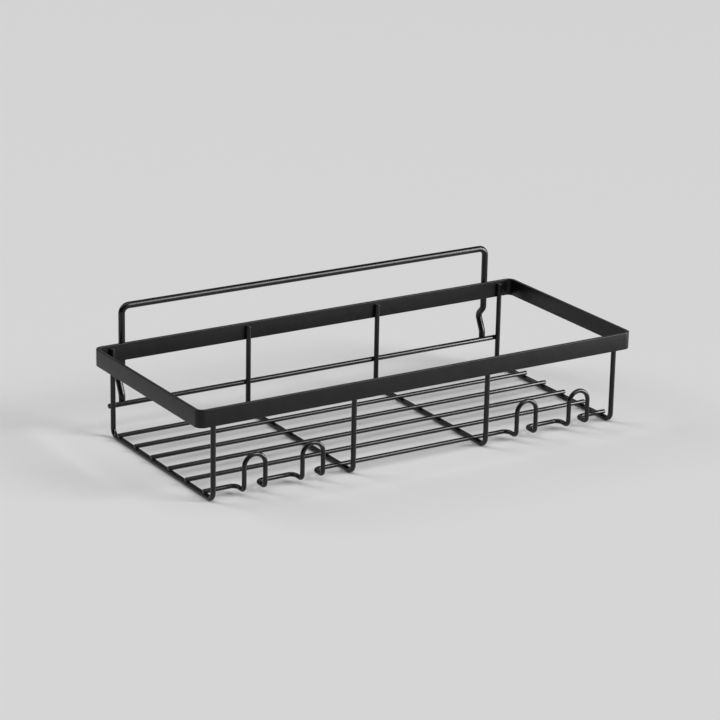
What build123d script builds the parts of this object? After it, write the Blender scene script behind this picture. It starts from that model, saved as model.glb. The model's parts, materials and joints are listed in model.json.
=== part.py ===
"""Wire shower caddy: a shallow basket of welded wire under a flat strip rim, hung by a wire bow.

Millimetres, +Z up, +X along the caddy's length, +Y towards the wall that it hangs on. The
origin is on the ground, under the middle of the whole outline.
"""

import os
from math import radians, sin, tan

from build123d import *

# Rim: one flat strip on edge, bent into a rectangular hoop
rim_width = 310.0
rim_depth = 133.5
rim_top_height = 59.2
strip_height = 11.0
strip_thickness = 2.0
strip_edge_round = 0.4
rim_corner_radius = 5.0

# Wire stock
cross_wire_diameter = 3.2
floor_wire_diameter = 2.8
rail_diameter = 3.2
hanger_diameter = 4.2
wire_end_round = 0.6

# Cross wires: U shapes that run front to back under the floor and up inside the rim,
# evenly spaced between the two end ones
cross_wire_count = 4
end_wire_inset = 11.5
cross_bend_inside_radius = 3.0
cross_end_below_rim_top = 1.8

# Floor wires: straight, on top of the cross wires, evenly spaced between the hook wire in
# the front place and the back one. Both insets are from the rim's outer faces
floor_wire_count = 5
hook_wire_inset = 12.05
back_floor_wire_inset = 13.45
floor_wire_overhang = 1.9

# Hooks: inverted U loops bent into the hook wire, a pair in each end bay of the floor
hook_pair_outward = 1.1
hook_spacing = 39.5
hook_leg_spacing = 14.2
hook_reach = 10.3
hook_rise = 21.6
hook_turn_inside_radius = 2.5
hook_foot_inside_radius = 1.4

# Back rail: low wire behind the cross wires
rail_height = 19.6
rail_overhang = 1.9

# Back hanger: bow of thick wire, with a kink in each leg that stands off the wall
hanger_leg_inset = 20.5
hanger_bar_above_rim = 22.8
hanger_bend_inside_radius = 2.8
kink_above_rail = 15.3
kink_reach = 4.7
kink_upper_angle = 43.5
kink_lower_angle = 26.0
kink_inside_radius = 1.9
kink_foot_inside_radius = 3.9

# How far a joint's two pieces are pressed into each other when they are welded
wire_set_down = 0.3
rail_set_down = 0.6
hanger_foot_set_down = 0.8

# Radii and centre line heights
cross_wire_radius = cross_wire_diameter / 2
floor_wire_radius = floor_wire_diameter / 2
rail_radius = rail_diameter / 2
hanger_radius = hanger_diameter / 2
rim_bottom_height = rim_top_height - strip_height
cross_wire_top = rim_top_height - cross_end_below_rim_top
floor_wire_height = cross_wire_diameter + floor_wire_radius - wire_set_down

# Distances behind the middle of the rim, one piece seated on the last
upright_y = rim_depth / 2 - strip_thickness - cross_wire_radius + wire_set_down
rail_y = upright_y + cross_wire_radius + rail_radius - rail_set_down
hanger_y = rim_depth / 2 + hanger_radius - wire_set_down
hanger_foot_y = rail_y + rail_radius + hanger_radius - hanger_foot_set_down
hook_wire_y = hook_wire_inset - rim_depth / 2
hook_front_y = hook_wire_y - hook_reach
floor_wire_spacing = (rim_depth - hook_wire_inset - back_floor_wire_inset) / floor_wire_count

# The outline's middle, front to back, is at y = 0
front_edge = max(rim_depth / 2, floor_wire_radius - hook_front_y)
back_edge = hanger_y + kink_reach + hanger_radius
rim_y = (front_edge - back_edge) / 2

# Places along the length, from the middle
end_wire_x = rim_width / 2 - end_wire_inset
cross_wire_spacing = 2 * end_wire_x / (cross_wire_count - 1)
cross_wire_xs = [index * cross_wire_spacing - end_wire_x for index in range(cross_wire_count)]
hook_pair_x = end_wire_x - cross_wire_spacing / 2 + hook_pair_outward
hanger_leg_x = rim_width / 2 - hanger_leg_inset

os.makedirs("parts", exist_ok=True)


# ---------------------------------------------------------------- rim band
with BuildPart() as rim_band:
    with BuildSketch(Plane((0, rim_y, rim_bottom_height))) as hoop:
        RectangleRounded(rim_width, rim_depth, rim_corner_radius)
        RectangleRounded(
            rim_width - 2 * strip_thickness,
            rim_depth - 2 * strip_thickness,
            rim_corner_radius - strip_thickness,
            mode=Mode.SUBTRACT,
        )
    extrude(amount=strip_height)
    strip_edges = rim_band.edges().group_by(Axis.Z)
    fillet(strip_edges[0] + strip_edges[-1], strip_edge_round)
rim_band.part.label = "rim_band"
export_step(rim_band.part, "parts/rim_band.step")


# ---------------------------------------------------------------- cross wires
# Each one's uprights have a flat where they are welded to the strip's inner face
cross_bend_radius = cross_bend_inside_radius + cross_wire_radius
cross_wires = []
for number, wire_x in enumerate(cross_wire_xs, start=1):
    with BuildPart() as cross_wire:
        with BuildLine(Plane((wire_x, rim_y, 0), x_dir=(0, 1, 0), z_dir=(1, 0, 0))) as u_path:
            FilletPolyline(
                (-upright_y, cross_wire_top),
                (-upright_y, cross_wire_radius),
                (upright_y, cross_wire_radius),
                (upright_y, cross_wire_top),
                radius=cross_bend_radius,
            )
        with BuildSketch(Plane(u_path.line @ 0, z_dir=u_path.line % 0)):
            Circle(cross_wire_radius)
        sweep(path=u_path.line)
        fillet(cross_wire.edges().group_by(Axis.Z)[-1], wire_end_round)
        add(rim_band.part, mode=Mode.SUBTRACT)
    cross_wire.part.label = f"cross_wire_{number}"
    export_step(cross_wire.part, f"parts/cross_wire_{number}.step")
    cross_wires.append(cross_wire.part)


# ---------------------------------------------------------------- floor wires
# Numbered from the back, each with a shallow saddle where it crosses a cross wire
floor_wire_end = end_wire_x + floor_wire_overhang
back_floor_wire_y = rim_depth / 2 - back_floor_wire_inset
for number in range(1, floor_wire_count + 1):
    wire_y = rim_y + back_floor_wire_y - (number - 1) * floor_wire_spacing
    with BuildPart() as floor_wire:
        with BuildSketch(Plane((0, wire_y, floor_wire_height), x_dir=(0, 1, 0), z_dir=(1, 0, 0))):
            Circle(floor_wire_radius)
        extrude(amount=floor_wire_end, both=True)
        end_edges = floor_wire.edges().group_by(Axis.X)
        fillet(end_edges[0] + end_edges[-1], wire_end_round)
        add(cross_wires, mode=Mode.SUBTRACT)
    floor_wire.part.label = f"floor_wire_{number}"
    export_step(floor_wire.part, f"parts/floor_wire_{number}.step")


# ---------------------------------------------------------------- hook wire
# From the straight wire, each hook comes forward, rises, arches over and goes back down
hook_xs = [
    side * hook_pair_x + place * hook_spacing / 2
    for side in (-1, 1)
    for place in (-1, 1)
]
hook_half = hook_leg_spacing / 2
arch_spring_height = hook_rise - hook_half
hook_radii = [
    hook_turn_inside_radius + floor_wire_radius,
    hook_foot_inside_radius + floor_wire_radius,
]
with BuildPart() as hook_wire:
    with BuildLine(Plane((0, rim_y + hook_wire_y, floor_wire_height))) as hook_path:
        start_x = -floor_wire_end
        for hook_x, next_x in zip(hook_xs, hook_xs[1:] + [None]):
            left_x = hook_x - hook_half
            right_x = hook_x + hook_half
            end_x = floor_wire_end if next_x is None else (hook_x + next_x) / 2
            FilletPolyline(
                (start_x, 0, 0),
                (left_x, 0, 0),
                (left_x, -hook_reach, 0),
                (left_x, -hook_reach, arch_spring_height),
                radius=hook_radii,
            )
            ThreePointArc(
                (left_x, -hook_reach, arch_spring_height),
                (hook_x, -hook_reach, hook_rise),
                (right_x, -hook_reach, arch_spring_height),
            )
            FilletPolyline(
                (right_x, -hook_reach, arch_spring_height),
                (right_x, -hook_reach, 0),
                (right_x, 0, 0),
                (end_x, 0, 0),
                radius=hook_radii[::-1],
            )
            start_x = end_x
    with BuildSketch(Plane(hook_path.line @ 0, z_dir=hook_path.line % 0)):
        Circle(floor_wire_radius)
    sweep(path=hook_path.line)
    end_edges = hook_wire.edges().group_by(Axis.X)
    fillet(end_edges[0] + end_edges[-1], wire_end_round)
    add(cross_wires, mode=Mode.SUBTRACT)
hook_wire.part.label = "hook_wire"
export_step(hook_wire.part, "parts/hook_wire.step")


# ---------------------------------------------------------------- back rail
with BuildPart() as back_rail:
    with BuildSketch(Plane((0, rim_y + rail_y, rail_height), x_dir=(0, 1, 0), z_dir=(1, 0, 0))):
        Circle(rail_radius)
    extrude(amount=end_wire_x + rail_overhang, both=True)
    end_edges = back_rail.edges().group_by(Axis.X)
    fillet(end_edges[0] + end_edges[-1], wire_end_round)
    add(cross_wires, mode=Mode.SUBTRACT)
back_rail.part.label = "back_rail"
export_step(back_rail.part, "parts/back_rail.step")


# ---------------------------------------------------------------- back hanger
# Each leg lies on the strip's outer face, kinks back and comes in again behind the rail
kink_radius = kink_inside_radius + hanger_radius
upper_turn = radians(kink_upper_angle)
lower_turn = radians(kink_lower_angle)
rounding_loss = kink_radius * ((sin(upper_turn) + sin(lower_turn)) / sin(upper_turn + lower_turn) - 1)
kink_corner = kink_reach + rounding_loss
kink_height = rail_height + kink_above_rail
foot_offset = hanger_foot_y - hanger_y
kink_top = kink_height + kink_corner / tan(upper_turn)
kink_bottom = kink_height - (kink_corner - foot_offset) / tan(lower_turn)
foot_end = rail_height - rail_radius
hanger_bar_height = rim_top_height + hanger_bar_above_rim
leg_profile = [
    (foot_offset, foot_end),
    (foot_offset, kink_bottom),
    (kink_corner, kink_height),
    (0, kink_top),
    (0, hanger_bar_height),
]
left_leg = [(-hanger_leg_x, back, height) for back, height in leg_profile]
right_leg = [(hanger_leg_x, back, height) for back, height in reversed(leg_profile)]
foot_radius = kink_foot_inside_radius + hanger_radius
bar_bend_radius = hanger_bend_inside_radius + hanger_radius
leg_radii = [foot_radius, kink_radius, kink_radius, bar_bend_radius]
with BuildPart() as back_hanger:
    with BuildLine(Plane((0, rim_y + hanger_y, 0))) as bow_path:
        FilletPolyline(left_leg + right_leg, radius=leg_radii + leg_radii[::-1])
    with BuildSketch(Plane(bow_path.line @ 0, z_dir=bow_path.line % 0)):
        Circle(hanger_radius)
    sweep(path=bow_path.line)
    fillet(back_hanger.edges().group_by(Axis.Z)[0], wire_end_round)
    add([rim_band.part, back_rail.part], mode=Mode.SUBTRACT)
back_hanger.part.label = "back_hanger"
export_step(back_hanger.part, "parts/back_hanger.step")
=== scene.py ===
"""Looks of the wire shower caddy: satin black powder coat over welded wire and a flat strip rim.

Metres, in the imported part's own frame: +X along the caddy's length, +Y towards the wall that
it hangs on, +Z up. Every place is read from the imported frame.
"""

import json
from math import ceil, cos, pi, radians, sin, sqrt, tan

import bpy
import numpy as np
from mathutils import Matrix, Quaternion, Vector


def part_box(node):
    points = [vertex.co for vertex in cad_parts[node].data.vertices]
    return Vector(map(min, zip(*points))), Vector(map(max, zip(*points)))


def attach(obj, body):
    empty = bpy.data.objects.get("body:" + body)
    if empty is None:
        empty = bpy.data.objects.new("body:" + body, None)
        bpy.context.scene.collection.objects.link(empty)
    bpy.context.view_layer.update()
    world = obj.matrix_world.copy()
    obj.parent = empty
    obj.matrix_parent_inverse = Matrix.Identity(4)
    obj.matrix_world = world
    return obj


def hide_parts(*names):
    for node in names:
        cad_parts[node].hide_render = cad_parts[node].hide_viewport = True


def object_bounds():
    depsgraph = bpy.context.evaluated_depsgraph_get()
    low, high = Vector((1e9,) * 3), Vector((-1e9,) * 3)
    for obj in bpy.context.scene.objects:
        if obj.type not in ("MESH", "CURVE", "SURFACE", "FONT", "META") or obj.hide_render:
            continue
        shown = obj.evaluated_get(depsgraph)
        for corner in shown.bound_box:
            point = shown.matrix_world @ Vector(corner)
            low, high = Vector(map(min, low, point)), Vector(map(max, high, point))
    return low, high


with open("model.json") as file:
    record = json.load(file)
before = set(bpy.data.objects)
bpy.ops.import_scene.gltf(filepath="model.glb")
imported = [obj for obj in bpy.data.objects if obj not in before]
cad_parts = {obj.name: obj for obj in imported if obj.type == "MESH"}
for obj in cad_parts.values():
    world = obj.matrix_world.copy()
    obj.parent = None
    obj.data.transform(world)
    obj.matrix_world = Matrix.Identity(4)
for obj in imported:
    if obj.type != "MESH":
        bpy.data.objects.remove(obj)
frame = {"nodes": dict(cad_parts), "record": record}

cad_low, cad_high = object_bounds()
object_middle = (cad_low + cad_high) / 2

# Sizes, bends and roundings that no node's box shows
WIRE_END_ROUND = 0.0006
RIM_CORNER_RADIUS = 0.005
STRIP_THICKNESS = 0.002
STRIP_EDGE_ROUND = 0.0004
CROSS_INSIDE_BEND = 0.003
HOOK_LEG_SPACING = 0.0142
HOOK_TURN_INSIDE_BEND = 0.0025
HOOK_FOOT_INSIDE_BEND = 0.0014
HANGER_INSIDE_BEND = 0.0028
KINK_ABOVE_RAIL = 0.0153
KINK_UPPER_ANGLE = radians(43.5)
KINK_LOWER_ANGLE = radians(26.0)
KINK_INSIDE_BEND = 0.0019
KINK_FOOT_INSIDE_BEND = 0.0039

# How far welded pieces are pressed into each other
HANGER_SET_DOWN = 0.0003
HANGER_FOOT_SET_DOWN = 0.0008

# Coat in the crevice beside each weld: a fillet where wires cross, and a bead where a wire lies
# along the strip. It reaches out to where the two surfaces are this gap apart, and its edges
# and its hidden core lie inside the metal
FILLET_GAP = 0.0007
FILLET_FADE_SHARE = 0.95
FILLET_EDGE_DEPTH_SHARE = 0.03
FILLET_CORE_SHARE = 0.8
BEAD_GAP = 0.0006
BEAD_END_SHARE = 0.05
BEAD_END_TAPER = 4.5
BEAD_EDGE_DEPTH = 0.00002
BEAD_CORE_SHARE = 0.7
BEAD_CORE_HEIGHT_SHARE = 0.3

# Fineness of the meshes
WIRE_SIDES = 32
BEND_STEP = radians(5)
END_STEPS = 4
EDGE_STEPS = 5
CORNER_STEPS = 18
FILLET_SIDES = 40
FILLET_STEPS = 6
BEAD_STEPS = 24
ROOT_HALVINGS = 40

# Limits that keep the sums safe
SAME_POINT = 1e-6
LEAST_DIVISOR = 1e-6
WITHIN_WIRE = 0.999
STEEP_TANGENT = 0.9

# Powder coat: noise scales per metre, factors on the coat's own colour, bump heights in metres
NOISE_LOW = 0.3
NOISE_HIGH = 0.7
MOTTLE_SCALE = 70
MOTTLE_DARKEST = 0.65
MOTTLE_PALEST = 1.6
WEAR_SCALE = 260
WEAR_LEAST = 0.1
WEAR_MOST = 0.75
WORN_COLOUR = 2.6
GLOSS_SCALE = 420
GLOSSIER = 0.04
DULLER = 0.05
PEEL_SCALE = 800
PEEL_STRENGTH = 0.7
PEEL_HEIGHT = 0.00007
GRAIN_SCALE = 2600
GRAIN_STRENGTH = 0.28
GRAIN_HEIGHT = 0.00003

# Studio
FLOOR_HALF_WIDTH = 6.0
FLOOR_BRIGHTNESS = 0.9
FLOOR_ROUGHNESS = 0.7
WORLD_LIGHT = 0.03
BACKDROP_BRIGHTNESS = 0.63
CAMERA_AZIMUTH = radians(-32.18)
CAMERA_ELEVATION = radians(18.51)
CAMERA_ROLL = radians(1.13)
CAMERA_DISTANCE = 1.7415
CAMERA_AIM_FROM_MIDDLE = Vector((-0.00092, 0.00145, 0.0022))
CAMERA_LENS = 139.97
CAMERA_SENSOR = 36
CAMERA_CLIP_START = 0.01
CAMERA_CLIP_END = 50


# ---------------------------------------------------------------- mesh building
def unit(vector):
    return vector / np.linalg.norm(vector)


class Shells:
    """Closed shells gathered into one mesh, each point with its share of edge wear."""

    def __init__(self):
        self.points = []
        self.faces = []
        self.wear = []

    def add_rings(self, rings, wear, closed=False, capped=False):
        """Joins rings of points, equally many in each, by quads.

        wear holds each ring's share, or its points' shares. A capped shell gets a fan at each
        end, and a closed one joins its last ring to its first.
        """
        sides = len(rings[0])
        start = len(self.points)
        first_face = len(self.faces)
        for ring, ring_wear in zip(rings, wear):
            self.points.extend(tuple(point) for point in ring)
            self.wear.extend(np.broadcast_to(ring_wear, sides))
        for index in range(len(rings) if closed else len(rings) - 1):
            near = start + index * sides
            far = start + (index + 1) % len(rings) * sides
            for side in range(sides):
                after = (side + 1) % sides
                self.faces.append((near + side, near + after, far + after, far + side))
        if capped:
            self.add_fan(start, rings[0], wear[0], turned=True)
            self.add_fan(start + (len(rings) - 1) * sides, rings[-1], wear[-1], turned=False)
        self.face_outward(first_face)

    def add_fan(self, start, ring, ring_wear, turned):
        """Closes an end with triangles from the ring to a point in its middle."""
        hub = len(self.points)
        self.points.append(tuple(np.mean(ring, axis=0)))
        self.wear.append(float(np.mean(ring_wear)))
        sides = len(ring)
        for side in range(sides):
            edge = (start + side, start + (side + 1) % sides)
            self.faces.append((*(edge[::-1] if turned else edge), hub))

    def face_outward(self, first_face):
        """Reverses the last shell's faces if they enclose it inside out."""
        shell = self.faces[first_face:]
        triangles = [(face[0], *pair) for face in shell for pair in zip(face[1:], face[2:])]
        first, second, third = np.array(self.points)[triangles].transpose(1, 0, 2)
        if np.sum(first * np.cross(second, third)) < 0:
            self.faces[first_face:] = [face[::-1] for face in shell]

    def piece(self, name):
        """Makes the smooth-shaded object, with the wear as a point attribute."""
        mesh = bpy.data.meshes.new(name)
        mesh.from_pydata(self.points, [], self.faces)
        attribute = mesh.attributes.new("wear", "FLOAT", "POINT")
        attribute.data.foreach_set("value", np.array(self.wear, np.float32))
        mesh.update()
        mesh.polygons.foreach_set("use_smooth", [True] * len(mesh.polygons))
        piece = bpy.data.objects.new(name, mesh)
        bpy.context.scene.collection.objects.link(piece)
        return piece


def bent_path(corners, radii):
    """Points along straight runs that tangent arcs join, with one radius for each inner corner."""
    corners = [np.array(corner, float) for corner in corners]
    path = [corners[0]]
    for before, corner, after, radius in zip(corners, corners[1:], corners[2:], radii):
        arriving = unit(before - corner)
        leaving = unit(after - corner)
        turn = pi - np.arccos(np.clip(arriving @ leaving, -1, 1))
        centre = corner + unit(arriving + leaving) * radius / cos(turn / 2)
        first = unit(corner + arriving * radius * tan(turn / 2) - centre)
        last = unit(corner + leaving * radius * tan(turn / 2) - centre)
        steps = max(2, ceil(turn / BEND_STEP))
        for step in range(steps + 1):
            angle = turn * step / steps
            path.append(centre + radius * (sin(turn - angle) * first + sin(angle) * last) / sin(turn))
    path.append(corners[-1])
    return path


def end_stations(end, tangent, inward, radius):
    """A cut end's rounding, from the end inwards: each station's centre, tangent, radius and wear."""
    stations = []
    for step in range(END_STEPS + 1):
        angle = pi / 2 * step / END_STEPS
        centre = end + inward * (WIRE_END_ROUND * (1 - cos(angle)))
        size = radius - WIRE_END_ROUND * (1 - sin(angle))
        stations.append((centre, tangent, size, 1.0 if step < END_STEPS else 0.0))
    return stations


def add_wire(shells, points, radius):
    """A round wire along a path, its cut ends rounded over."""
    path = [np.array(points[0], float)]
    for point in points[1:]:
        if np.linalg.norm(point - path[-1]) > SAME_POINT:
            path.append(np.array(point, float))
    tangents = [unit(path[1] - path[0])]
    for before, after in zip(path, path[2:]):
        tangents.append(unit(after - before))
    tangents.append(unit(path[-1] - path[-2]))

    stations = end_stations(path[0], tangents[0], tangents[0], radius)
    stations += [(point, tangent, radius, 0.0) for point, tangent in zip(path[1:-1], tangents[1:-1])]
    stations += end_stations(path[-1], tangents[-1], -tangents[-1], radius)[::-1]

    across = np.cross(tangents[0], (0, 0, 1) if abs(tangents[0][2]) < STEEP_TANGENT else (1, 0, 0))
    turns = 2 * pi * np.arange(WIRE_SIDES) / WIRE_SIDES
    rings = []
    for centre, tangent, size, _ in stations:
        across = unit(across - tangent * (across @ tangent))
        beside = np.cross(tangent, across)
        circle = np.outer(np.cos(turns), across) + np.outer(np.sin(turns), beside)
        rings.append(centre + size * circle)
    shells.add_rings(rings, [station[3] for station in stations], capped=True)


def smallest_root(rises, target, highest):
    """Where an increasing function of one distance reaches target."""
    low, high = 0.0, highest
    for _ in range(ROOT_HALVINGS):
        middle = (low + high) / 2
        if rises(middle) < target:
            low = middle
        else:
            high = middle
    return (low + high) / 2


def hollow_curve(low_end, crevice, high_end):
    """Points of a fillet's outer face, from one edge to the other, bowed towards the crevice."""
    points = []
    for step in range(FILLET_STEPS + 1):
        share = step / FILLET_STEPS
        towards_crevice = 2 * share * (1 - share) * crevice
        points.append((1 - share) ** 2 * low_end + towards_crevice + share**2 * high_end)
    return points


def add_crossing_fillet(shells, contact, below, above, overlap, fade=None):
    """Coat in the crevice round a weld where one wire crosses another at right angles.

    contact is the middle of the overlap, below and above are (axis direction, radius), and the
    direction from the one wire to the other is their cross product. The fillet thins towards fade.
    """
    axis_below, radius_below = np.array(below[0], float), below[1]
    axis_above, radius_above = np.array(above[0], float), above[1]
    up = np.cross(axis_below, axis_above)
    depth_below = radius_below - overlap / 2
    depth_above = radius_above - overlap / 2
    rings = []
    for side in range(FILLET_SIDES):
        turn = 2 * pi * side / FILLET_SIDES
        outward = cos(turn) * axis_below + sin(turn) * axis_above
        reach_below = radius_below / max(abs(sin(turn)), LEAST_DIVISOR)
        reach_above = radius_above / max(abs(cos(turn)), LEAST_DIVISOR)
        reach = WITHIN_WIRE * min(reach_below, reach_above)

        def low_surface(distance):
            return sqrt(max(radius_below**2 - (distance * sin(turn)) ** 2, 0)) - depth_below

        def high_surface(distance):
            return depth_above - sqrt(max(radius_above**2 - (distance * cos(turn)) ** 2, 0))

        def gap(distance):
            return high_surface(distance) - low_surface(distance)

        thinning = 0.0 if fade is None else max(0.0, float(outward @ np.array(fade, float)))
        inner = smallest_root(gap, 0.0, reach)
        outer = smallest_root(gap, FILLET_GAP * (1 - FILLET_FADE_SHARE * thinning), reach)
        sunk = FILLET_EDGE_DEPTH_SHARE * FILLET_GAP
        low_end = np.array([outer, low_surface(outer) - sunk])
        high_end = np.array([outer, high_surface(outer) + sunk])
        crevice = np.array([inner, (low_surface(inner) + high_surface(inner)) / 2])
        ring = hollow_curve(low_end, crevice, high_end)
        ring.append(np.array([inner * FILLET_CORE_SHARE, crevice[1]]))
        rings.append([contact + outward * point[0] + up * point[1] for point in ring])
    shells.add_rings(rings, [0.0] * len(rings), closed=True)


def add_flat_fillets(shells, foot, outward, along, length, radius, overlap):
    """Two beads of coat beside a wire that is welded lengthwise to a flat face.

    foot is the point of the face under the wire's axis where the weld starts, outward the
    face's normal and along the wire's direction. The beads taper towards both ends.
    """
    outward, along = np.array(outward, float), np.array(along, float)
    height = radius - overlap
    inner = sqrt(radius**2 - height**2)
    crevice = np.array([inner, 0.0])
    for side in (-1, 1):
        sideways = side * np.cross(outward, along)
        rings = []
        for step in range(BEAD_STEPS + 1):
            share = step / BEAD_STEPS
            size = BEAD_GAP * min(1.0, BEAD_END_TAPER * min(share, 1 - share) + BEAD_END_SHARE)
            outer = sqrt(radius**2 - (height - size) ** 2)
            low_end = np.array([outer, -BEAD_EDGE_DEPTH])
            high_end = np.array([outer - BEAD_EDGE_DEPTH, size])
            profile = hollow_curve(low_end, crevice, high_end)
            profile.append(np.array([inner * BEAD_CORE_SHARE, size * BEAD_CORE_HEIGHT_SHARE]))
            if side > 0:
                profile.reverse()
            base = foot + along * length * share
            rings.append([base + sideways * point[0] + outward * point[1] for point in profile])
        shells.add_rings(rings, [0.0] * len(rings), capped=True)


# ---------------------------------------------------------------- places from the frame
def size_of(node):
    low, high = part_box(node)
    return high - low


def middle_of(node):
    low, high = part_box(node)
    return (low + high) / 2


mounts = {mount["name"]: mount for mount in frame["record"]["mounts"]}

rim_low, rim_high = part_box("rim_band")
rim_inner_front = rim_low.y + STRIP_THICKNESS
rim_inner_back = rim_high.y - STRIP_THICKNESS

cross_names = sorted(name for name in frame["nodes"] if name.startswith("cross_wire_"))
floor_names = sorted(name for name in frame["nodes"] if name.startswith("floor_wire_"))
cross_xs = [middle_of(name).x for name in cross_names]
cross_radius = size_of(cross_names[0]).x / 2
cross_low, cross_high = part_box(cross_names[0])
upright_front_y = cross_low.y + cross_radius
upright_back_y = cross_high.y - cross_radius
cross_floor_z = cross_low.z + cross_radius

floor_radius = size_of(floor_names[0]).y / 2
floor_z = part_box(floor_names[0])[1].z - floor_radius
floor_overlap = cross_floor_z + cross_radius - (floor_z - floor_radius)

rail_low, rail_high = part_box("back_rail")
rail_radius = size_of("back_rail").z / 2
rail_y = rail_high.y - rail_radius
rail_z = middle_of("back_rail").z
rail_overlap = upright_back_y + cross_radius - (rail_y - rail_radius)

hook_low, hook_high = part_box("hook_wire")
hook_wire_y = hook_high.y - floor_radius
hook_front_y = hook_low.y + floor_radius
hook_names = [name for name in mounts if name.startswith("hook_")]
hook_xs = sorted(mounts[name]["pos_m"][0] for name in hook_names)

hanger_low, hanger_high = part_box("back_hanger")
hanger_radius = mounts["hanging_bar"]["dims"]["r_mm"] / 1000
hanger_bar_z = hanger_high.z - hanger_radius
hanger_leg_x = hanger_high.x - hanger_radius
hanger_y = rim_high.y + hanger_radius - HANGER_SET_DOWN
hanger_foot_y = rail_y + rail_radius + hanger_radius - HANGER_FOOT_SET_DOWN


# ---------------------------------------------------------------- pieces
def rim_band():
    """The strip on edge: its rounded section carried round the four corners."""
    half_height = (rim_high.z - rim_low.z) / 2
    middle_z = (rim_high.z + rim_low.z) / 2
    section = []
    wear = []
    corners = [
        (STRIP_EDGE_ROUND, half_height - STRIP_EDGE_ROUND, 90),
        (STRIP_THICKNESS - STRIP_EDGE_ROUND, half_height - STRIP_EDGE_ROUND, 0),
        (STRIP_THICKNESS - STRIP_EDGE_ROUND, STRIP_EDGE_ROUND - half_height, -90),
        (STRIP_EDGE_ROUND, STRIP_EDGE_ROUND - half_height, -180),
    ]
    for inward, height, start in corners:
        for step in range(EDGE_STEPS + 1):
            angle = radians(start + 90 - 90 * step / EDGE_STEPS)
            across = STRIP_EDGE_ROUND * cos(angle)
            up = STRIP_EDGE_ROUND * sin(angle)
            section.append((inward + across, height + up))
            wear.append(sin(pi * step / EDGE_STEPS))
    rings = []
    for index, (side_x, side_y) in enumerate(((1, 1), (-1, 1), (-1, -1), (1, -1))):
        centre_x = rim_high.x - RIM_CORNER_RADIUS if side_x > 0 else rim_low.x + RIM_CORNER_RADIUS
        centre_y = rim_high.y - RIM_CORNER_RADIUS if side_y > 0 else rim_low.y + RIM_CORNER_RADIUS
        for step in range(CORNER_STEPS + 1):
            angle = pi / 2 * (index + step / CORNER_STEPS)
            ring = []
            for inward, height in section:
                radius = RIM_CORNER_RADIUS - inward
                x = centre_x + radius * cos(angle)
                y = centre_y + radius * sin(angle)
                ring.append((x, y, middle_z + height))
            rings.append(ring)
    shells = Shells()
    shells.add_rings(rings, [np.array(wear)] * len(rings), closed=True)
    return shells


def cross_wire(node):
    """A U of wire, with the coat that fills its two welds to the strip."""
    wire_x = middle_of(node).x
    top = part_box(node)[1].z
    shells = Shells()
    corners = [
        (wire_x, upright_front_y, top),
        (wire_x, upright_front_y, cross_floor_z),
        (wire_x, upright_back_y, cross_floor_z),
        (wire_x, upright_back_y, top),
    ]
    bend = CROSS_INSIDE_BEND + cross_radius
    add_wire(shells, bent_path(corners, [bend, bend]), cross_radius)
    start = rim_low.z + STRIP_EDGE_ROUND
    length = top - WIRE_END_ROUND - start
    for face_y, outward, upright_y in (
        (rim_inner_front, 1, upright_front_y),
        (rim_inner_back, -1, upright_back_y),
    ):
        overlap = cross_radius - abs(upright_y - face_y)
        foot = np.array([wire_x, face_y, start])
        add_flat_fillets(shells, foot, (0, outward, 0), (0, 0, 1), length, cross_radius, overlap)
    return shells


def add_floor_welds(shells, wire_y):
    """Fillets where a wire of the floor lies on each cross wire."""
    below = ((0, -1, 0), cross_radius)
    above = ((1, 0, 0), floor_radius)
    for wire_x in cross_xs:
        contact = np.array([wire_x, wire_y, cross_floor_z + cross_radius - floor_overlap / 2])
        add_crossing_fillet(shells, contact, below, above, floor_overlap)


def floor_wire(node):
    """A straight wire of the floor, with its welds."""
    low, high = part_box(node)
    wire_y = (low.y + high.y) / 2
    shells = Shells()
    add_wire(shells, [(low.x, wire_y, floor_z), (high.x, wire_y, floor_z)], floor_radius)
    add_floor_welds(shells, wire_y)
    return shells


def hook_wire():
    """The front floor wire, with four inverted U hooks bent into it."""
    turn = HOOK_TURN_INSIDE_BEND + floor_radius
    foot = HOOK_FOOT_INSIDE_BEND + floor_radius
    half = HOOK_LEG_SPACING / 2
    spring_z = hook_high.z - floor_radius - half
    path = []
    start_x = hook_low.x
    for index, hook_x in enumerate(hook_xs):
        last = index + 1 == len(hook_xs)
        end_x = hook_high.x if last else (hook_x + hook_xs[index + 1]) / 2
        left, right = hook_x - half, hook_x + half
        rise = [
            (start_x, hook_wire_y, floor_z),
            (left, hook_wire_y, floor_z),
            (left, hook_front_y, floor_z),
            (left, hook_front_y, spring_z),
        ]
        fall = [
            (right, hook_front_y, spring_z),
            (right, hook_front_y, floor_z),
            (right, hook_wire_y, floor_z),
            (end_x, hook_wire_y, floor_z),
        ]
        path += bent_path(rise, [turn, foot])
        steps = ceil(pi / BEND_STEP)
        for step in range(1, steps):
            angle = pi * step / steps
            arch_x = hook_x - half * cos(angle)
            arch_z = spring_z + half * sin(angle)
            path.append(np.array([arch_x, hook_front_y, arch_z]))
        path += bent_path(fall, [foot, turn])
        start_x = end_x
    shells = Shells()
    add_wire(shells, path, floor_radius)
    add_floor_welds(shells, hook_wire_y)
    return shells


def back_rail():
    """The low wire behind the uprights, with its welds to them."""
    below = ((0, 0, 1), cross_radius)
    above = ((1, 0, 0), rail_radius)
    shells = Shells()
    add_wire(shells, [(rail_low.x, rail_y, rail_z), (rail_high.x, rail_y, rail_z)], rail_radius)
    for wire_x in cross_xs:
        contact = np.array([wire_x, upright_back_y + cross_radius - rail_overlap / 2, rail_z])
        add_crossing_fillet(shells, contact, below, above, rail_overlap)
    return shells


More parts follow.
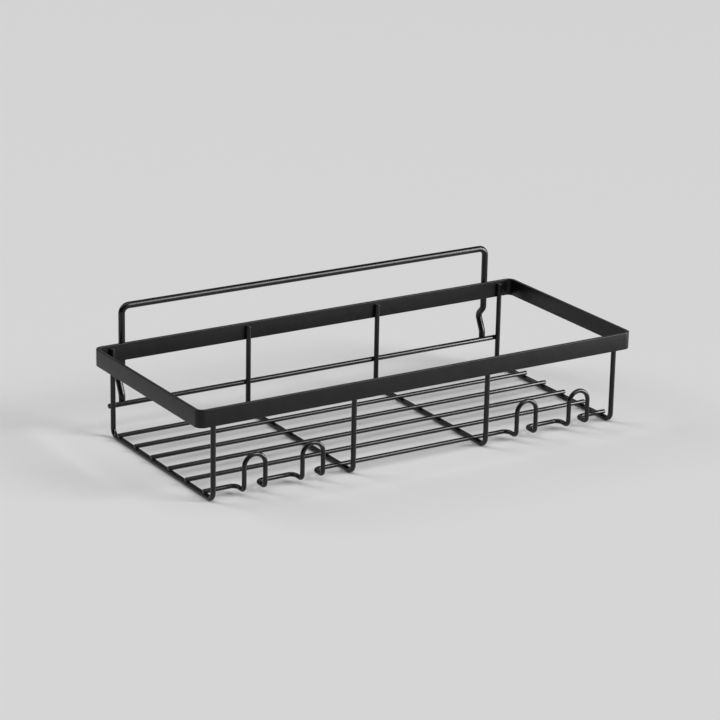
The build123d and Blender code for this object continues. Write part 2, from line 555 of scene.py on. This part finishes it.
def back_hanger():
    """The bow: up the strip's outer face, along the top and down, with a kink in each leg."""
    kink_bend = KINK_INSIDE_BEND + hanger_radius
    kink_reach = hanger_high.y - hanger_radius - hanger_y
    whole_turn = KINK_UPPER_ANGLE + KINK_LOWER_ANGLE
    rounding_loss = (sin(KINK_UPPER_ANGLE) + sin(KINK_LOWER_ANGLE)) / sin(whole_turn) - 1
    corner = kink_reach + kink_bend * rounding_loss
    kink_z = rail_z + KINK_ABOVE_RAIL
    foot_offset = hanger_foot_y - hanger_y
    profile = [
        (foot_offset, hanger_low.z),
        (foot_offset, kink_z - (corner - foot_offset) / tan(KINK_LOWER_ANGLE)),
        (corner, kink_z),
        (0, kink_z + corner / tan(KINK_UPPER_ANGLE)),
        (0, hanger_bar_z),
    ]
    left = [(-hanger_leg_x, hanger_y + back, height) for back, height in profile]
    right = [(hanger_leg_x, hanger_y + back, height) for back, height in reversed(profile)]
    foot_bend = KINK_FOOT_INSIDE_BEND + hanger_radius
    radii = [foot_bend, kink_bend, kink_bend, HANGER_INSIDE_BEND + hanger_radius]
    shells = Shells()
    add_wire(shells, bent_path(left + right, radii + radii[::-1]), hanger_radius)
    start = rim_low.z + STRIP_EDGE_ROUND
    length = rim_high.z - STRIP_EDGE_ROUND - start
    rail = ((-1, 0, 0), rail_radius)
    leg = ((0, 0, 1), hanger_radius)
    for leg_x in (-hanger_leg_x, hanger_leg_x):
        foot = np.array([leg_x, rim_high.y, start])
        add_flat_fillets(shells, foot, (0, 1, 0), (0, 0, 1), length, hanger_radius, HANGER_SET_DOWN)
        contact = np.array([leg_x, rail_y + rail_radius - HANGER_FOOT_SET_DOWN / 2, rail_z])
        add_crossing_fillet(shells, contact, rail, leg, HANGER_FOOT_SET_DOWN, fade=(0, 0, -1))
    return shells


# ---------------------------------------------------------------- materials
def node_of(tree, kind, **inputs):
    """A new shader node, with some of its inputs' values."""
    node = tree.nodes.new(kind)
    for name, value in inputs.items():
        node.inputs[name.replace("_", " ")].default_value = value
    return node


def noise(tree, place, scale, detail, roughness=0.5):
    """A noise over the object's own coordinates."""
    node = node_of(tree, "ShaderNodeTexNoise", Scale=scale, Detail=detail, Roughness=roughness)
    tree.links.new(place, node.inputs["Vector"])
    return node.outputs["Fac"]


def spread(tree, value, low, high):
    """Spreads the values that a noise mostly has from low to high."""
    limits = {"From_Min": NOISE_LOW, "From_Max": NOISE_HIGH, "To_Min": low, "To_Max": high}
    node = node_of(tree, "ShaderNodeMapRange", **limits)
    tree.links.new(value, node.inputs["Value"])
    return node.outputs["Result"]


def powder_coat(name, colour, roughness, specular):
    """Satin powder coat: fine grain over orange peel, faintly mottled, paler on worn edges."""
    material = bpy.data.materials.new(name)
    material.use_nodes = True
    tree = material.node_tree
    shader = tree.nodes["Principled BSDF"]
    place = tree.nodes.new("ShaderNodeTexCoord").outputs["Object"]

    mottle = noise(tree, place, MOTTLE_SCALE, detail=4, roughness=0.6)
    shade = tree.nodes.new("ShaderNodeMix")
    shade.data_type = "RGBA"
    shade.inputs["A"].default_value = (*[channel * MOTTLE_DARKEST for channel in colour], 1)
    shade.inputs["B"].default_value = (*[channel * MOTTLE_PALEST for channel in colour], 1)
    tree.links.new(spread(tree, mottle, 0, 1), shade.inputs["Factor"])

    edge = tree.nodes.new("ShaderNodeAttribute")
    edge.attribute_name = "wear"
    patches = noise(tree, place, WEAR_SCALE, detail=5, roughness=0.65)
    worn = tree.nodes.new("ShaderNodeMath")
    worn.operation = "MULTIPLY"
    tree.links.new(edge.outputs["Fac"], worn.inputs[0])
    tree.links.new(spread(tree, patches, WEAR_LEAST, WEAR_MOST), worn.inputs[1])
    rubbed = tree.nodes.new("ShaderNodeMix")
    rubbed.data_type = "RGBA"
    rubbed.inputs["B"].default_value = (*[channel * WORN_COLOUR for channel in colour], 1)
    tree.links.new(worn.outputs["Value"], rubbed.inputs["Factor"])
    tree.links.new(shade.outputs["Result"], rubbed.inputs["A"])
    tree.links.new(rubbed.outputs["Result"], shader.inputs["Base Color"])

    gloss = noise(tree, place, GLOSS_SCALE, detail=4)
    gloss = spread(tree, gloss, roughness - GLOSSIER, roughness + DULLER)
    tree.links.new(gloss, shader.inputs["Roughness"])

    peel = node_of(tree, "ShaderNodeBump", Strength=PEEL_STRENGTH, Distance=PEEL_HEIGHT)
    tree.links.new(noise(tree, place, PEEL_SCALE, detail=2), peel.inputs["Height"])
    grain = node_of(tree, "ShaderNodeBump", Strength=GRAIN_STRENGTH, Distance=GRAIN_HEIGHT)
    tree.links.new(noise(tree, place, GRAIN_SCALE, detail=3), grain.inputs["Height"])
    tree.links.new(peel.outputs["Normal"], grain.inputs["Normal"])
    tree.links.new(grain.outputs["Normal"], shader.inputs["Normal"])
    shader.inputs["Specular IOR Level"].default_value = specular
    return material


def pale_floor():
    """A matt, nearly white studio floor."""
    material = bpy.data.materials.new("pale_floor")
    material.use_nodes = True
    tree = material.node_tree
    shader = tree.nodes["Principled BSDF"]
    shader.inputs["Base Color"].default_value = (*[FLOOR_BRIGHTNESS] * 3, 1)
    shader.inputs["Roughness"].default_value = FLOOR_ROUGHNESS
    return material


# ---------------------------------------------------------------- studio
def add_floor():
    """A square of floor under the object, far wider than any view of it."""
    half = FLOOR_HALF_WIDTH
    mesh = bpy.data.meshes.new("floor")
    corners = [(-half, -half, 0), (half, -half, 0), (half, half, 0), (-half, half, 0)]
    mesh.from_pydata(corners, [], [(0, 1, 2, 3)])
    floor = bpy.data.objects.new("floor", mesh)
    bpy.context.scene.collection.objects.link(floor)
    floor.data.materials.append(pale_floor())


def direction(azimuth, elevation):
    """Towards a viewer at that azimuth, where 0 stands in front and looks along +Y."""
    return Vector((sin(azimuth) * cos(elevation), -cos(azimuth) * cos(elevation), sin(elevation)))


def add_light(name, kind, azimuth, elevation):
    """A light that the camera doesn't see, turned to shine from that direction, in degrees."""
    data = bpy.data.lights.new(name, kind)
    light = bpy.data.objects.new(name, data)
    towards = direction(radians(azimuth), radians(elevation))
    light.rotation_mode = "QUATERNION"
    light.rotation_quaternion = (-towards).to_track_quat("-Z", "Y")
    light.visible_camera = False
    bpy.context.scene.collection.objects.link(light)
    return light, towards


def add_far_light(name, azimuth, elevation, spread_angle, strength):
    """A large softbox so far away that it lights the whole floor evenly."""
    light, _ = add_light(name, "SUN", azimuth, elevation)
    light.data.angle = radians(spread_angle)
    light.data.energy = strength


def add_near_softbox(name, azimuth, elevation, distance, width, height, power):
    """A softbox close to the object, kept off the floor, where it would leave a hot spot."""
    light, towards = add_light(name, "AREA", azimuth, elevation)
    light.location = object_middle + towards * distance
    light.data.shape = "RECTANGLE"
    light.data.size = width
    light.data.size_y = height
    light.data.energy = power
    light.light_linking.receiver_collection = receivers


def add_camera():
    """The photograph's viewpoint, aimed from the middle of the object."""
    data = bpy.data.cameras.new("camera")
    data.sensor_width = CAMERA_SENSOR
    data.lens = CAMERA_LENS
    data.clip_start = CAMERA_CLIP_START
    data.clip_end = CAMERA_CLIP_END
    camera = bpy.data.objects.new("camera", data)
    towards = direction(CAMERA_AZIMUTH, CAMERA_ELEVATION)
    camera.location = object_middle + CAMERA_AIM_FROM_MIDDLE + towards * CAMERA_DISTANCE
    camera.rotation_mode = "QUATERNION"
    level = (-towards).to_track_quat("-Z", "Y")
    camera.rotation_quaternion = level @ Quaternion((0, 0, 1), CAMERA_ROLL)
    bpy.context.scene.collection.objects.link(camera)
    bpy.context.scene.camera = camera


def add_world():
    """Lights the scene faintly, and shows the camera a backdrop as pale as the floor."""
    world = bpy.data.worlds.new("studio")
    world.use_nodes = True
    tree = world.node_tree
    background = tree.nodes["Background"]
    background.inputs["Color"].default_value = (1, 1, 1, 1)
    limits = {"To_Min": WORLD_LIGHT, "To_Max": BACKDROP_BRIGHTNESS}
    strength = node_of(tree, "ShaderNodeMapRange", **limits)
    camera_ray = tree.nodes.new("ShaderNodeLightPath").outputs["Is Camera Ray"]
    tree.links.new(camera_ray, strength.inputs["Value"])
    tree.links.new(strength.outputs["Result"], background.inputs["Strength"])
    bpy.context.scene.world = world


# ---------------------------------------------------------------- scene
strip_coat = powder_coat(
    "satin_coat_on_strip",
    colour=(0.0036, 0.0036, 0.0037),
    roughness=0.32,
    specular=0.28,
)
wire_coat = powder_coat(
    "satin_coat_on_wire",
    colour=(0.0035, 0.0035, 0.0036),
    roughness=0.21,
    specular=0.38,
)
built = [("rim_band", rim_band(), strip_coat, "coated_strip")]
built += [(name, cross_wire(name), wire_coat, "coated_wire") for name in cross_names]
built += [(name, floor_wire(name), wire_coat, "coated_wire") for name in floor_names]
built += [("hook_wire", hook_wire(), wire_coat, "coated_wire")]
built += [("back_rail", back_rail(), wire_coat, "coated_wire")]
built += [("back_hanger", back_hanger(), wire_coat, "coated_wire")]

receivers = bpy.data.collections.new("softbox_receivers")
for node, shells, coat, slot in built:
    piece = shells.piece("coated_" + node)
    piece.data.materials.append(coat)
    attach(piece, "root")
    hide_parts(node)
    receivers.objects.link(piece)

add_floor()
add_world()
add_far_light("key_light", azimuth=42, elevation=33, spread_angle=26, strength=1.5)
add_far_light("back_light", azimuth=-140, elevation=40, spread_angle=32, strength=0.8)
add_far_light("top_light", azimuth=0, elevation=86, spread_angle=50, strength=1.0)
add_near_softbox("low_softbox", 34, 22, distance=1.2, width=0.75, height=0.6, power=7.0)
add_near_softbox("side_softbox", 60, 7, distance=0.8, width=0.35, height=0.3, power=6.0)
add_near_softbox("wall_glow", 148, 20, distance=2.0, width=1.6, height=0.8, power=1.6)
add_camera()
bpy.context.scene.view_settings.view_transform = "Standard"
